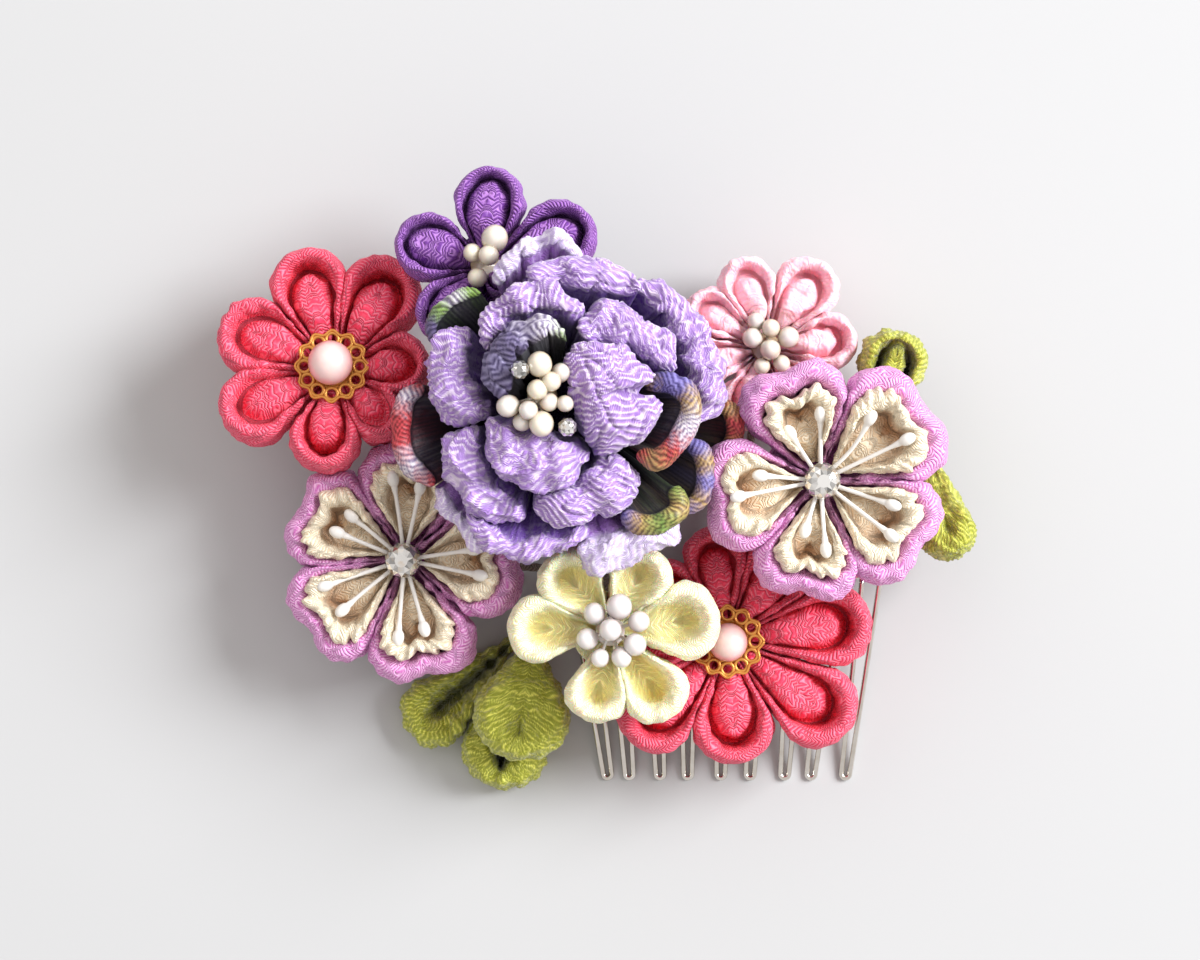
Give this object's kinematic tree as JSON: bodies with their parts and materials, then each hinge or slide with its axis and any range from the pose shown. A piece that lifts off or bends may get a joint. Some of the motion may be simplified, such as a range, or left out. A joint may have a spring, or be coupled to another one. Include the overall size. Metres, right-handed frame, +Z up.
{
  "type": "flower hair comb",
  "caption": "Folded crepe flowers, printed loops and leaves gathered on a wire hair comb, with pearls, pierced caps, stamens and cut stones",
  "frame": {"origin": "middle of the whole outline seen from above, on the surface that the comb lies on", "axes": "+X along the comb's bar, from the first tooth to the last; +Y from the tooth tips to the back; +Z up, from the teeth to the flowers"},
  "size_m": [0.0983, 0.0804, 0.0351],
  "materials": {
    "silver_wire": "plated wire, polished",
    "coral_crepe": "crepe with fine wavy ridges",
    "gold_filigree": "pierced, thin, gilt",
    "pearl": "pearl lustre",
    "violet_crepe": "crepe with fine wavy ridges",
    "blush_crepe": "napped crepe",
    "lemon_crepe": "soft crepe",
    "cherry_crepe": "crepe with fine wavy ridges",
    "cream_crepe": "crepe with a crinkled rim",
    "stamen": "stiffened white thread with round ends",
    "cut_stone": "clear, faceted, foiled back",
    "lavender_crepe": "crepe with bold wavy ridges",
    "printed_crepe": "crepe dyed in bands of several colours",
    "green_crepe": "crepe with fine wavy ridges"
  },
  "bodies": {
    "root": {"comb": "silver_wire", "coral_left_petals": "coral_crepe", "coral_left_base": "coral_crepe", "coral_lower_petals": "coral_crepe", "coral_lower_base": "coral_crepe", "coral_left_cap": "gold_filigree", "coral_lower_cap": "gold_filigree", "coral_left_pearl": "pearl", "coral_lower_pearl": "pearl", "violet_pearls": "pearl", "blush_pearls": "pearl", "lemon_pearls": "pearl", "peony_pearls": "pearl", "violet_petals": "violet_crepe", "violet_base": "violet_crepe", "blush_petals": "blush_crepe", "blush_base": "blush_crepe", "lemon_petals": "lemon_crepe", "lemon_base": "lemon_crepe", "cherry_right_outer": "cherry_crepe", "cherry_right_base": "cherry_crepe", "cherry_left_outer": "cherry_crepe", "cherry_left_base": "cherry_crepe", "cherry_right_inner": "cream_crepe", "cherry_left_inner": "cream_crepe", "cherry_right_stamens": "stamen", "cherry_left_stamens": "stamen", "cherry_right_gem": "cut_stone", "cherry_left_gem": "cut_stone", "peony_base": "lavender_crepe", "peony_petal_1": "lavender_crepe", "peony_petal_2": "lavender_crepe", "peony_petal_3": "lavender_crepe", "peony_petal_4": "lavender_crepe", "peony_petal_5": "lavender_crepe", "peony_petal_6": "lavender_crepe", "peony_petal_7": "lavender_crepe", "peony_petal_8": "lavender_crepe", "peony_petal_9": "lavender_crepe", "peony_petal_10": "lavender_crepe", "peony_petal_11": "lavender_crepe", "peony_petal_12": "lavender_crepe", "peony_petal_13": "lavender_crepe", "peony_petal_14": "lavender_crepe", "printed_loop_1": "printed_crepe", "printed_loop_2": "printed_crepe", "printed_loop_3": "printed_crepe", "printed_loop_4": "printed_crepe", "printed_loop_5": "printed_crepe", "printed_loop_6": "printed_crepe", "leaf_back_left": "green_crepe", "leaf_front": "green_crepe", "leaf_bottom": "green_crepe", "leaf_right_top": "green_crepe", "leaf_right_bottom": "green_crepe", "leaves_left_stem": "green_crepe", "leaves_right_stem": "green_crepe"}
  },
  "joints": []
}
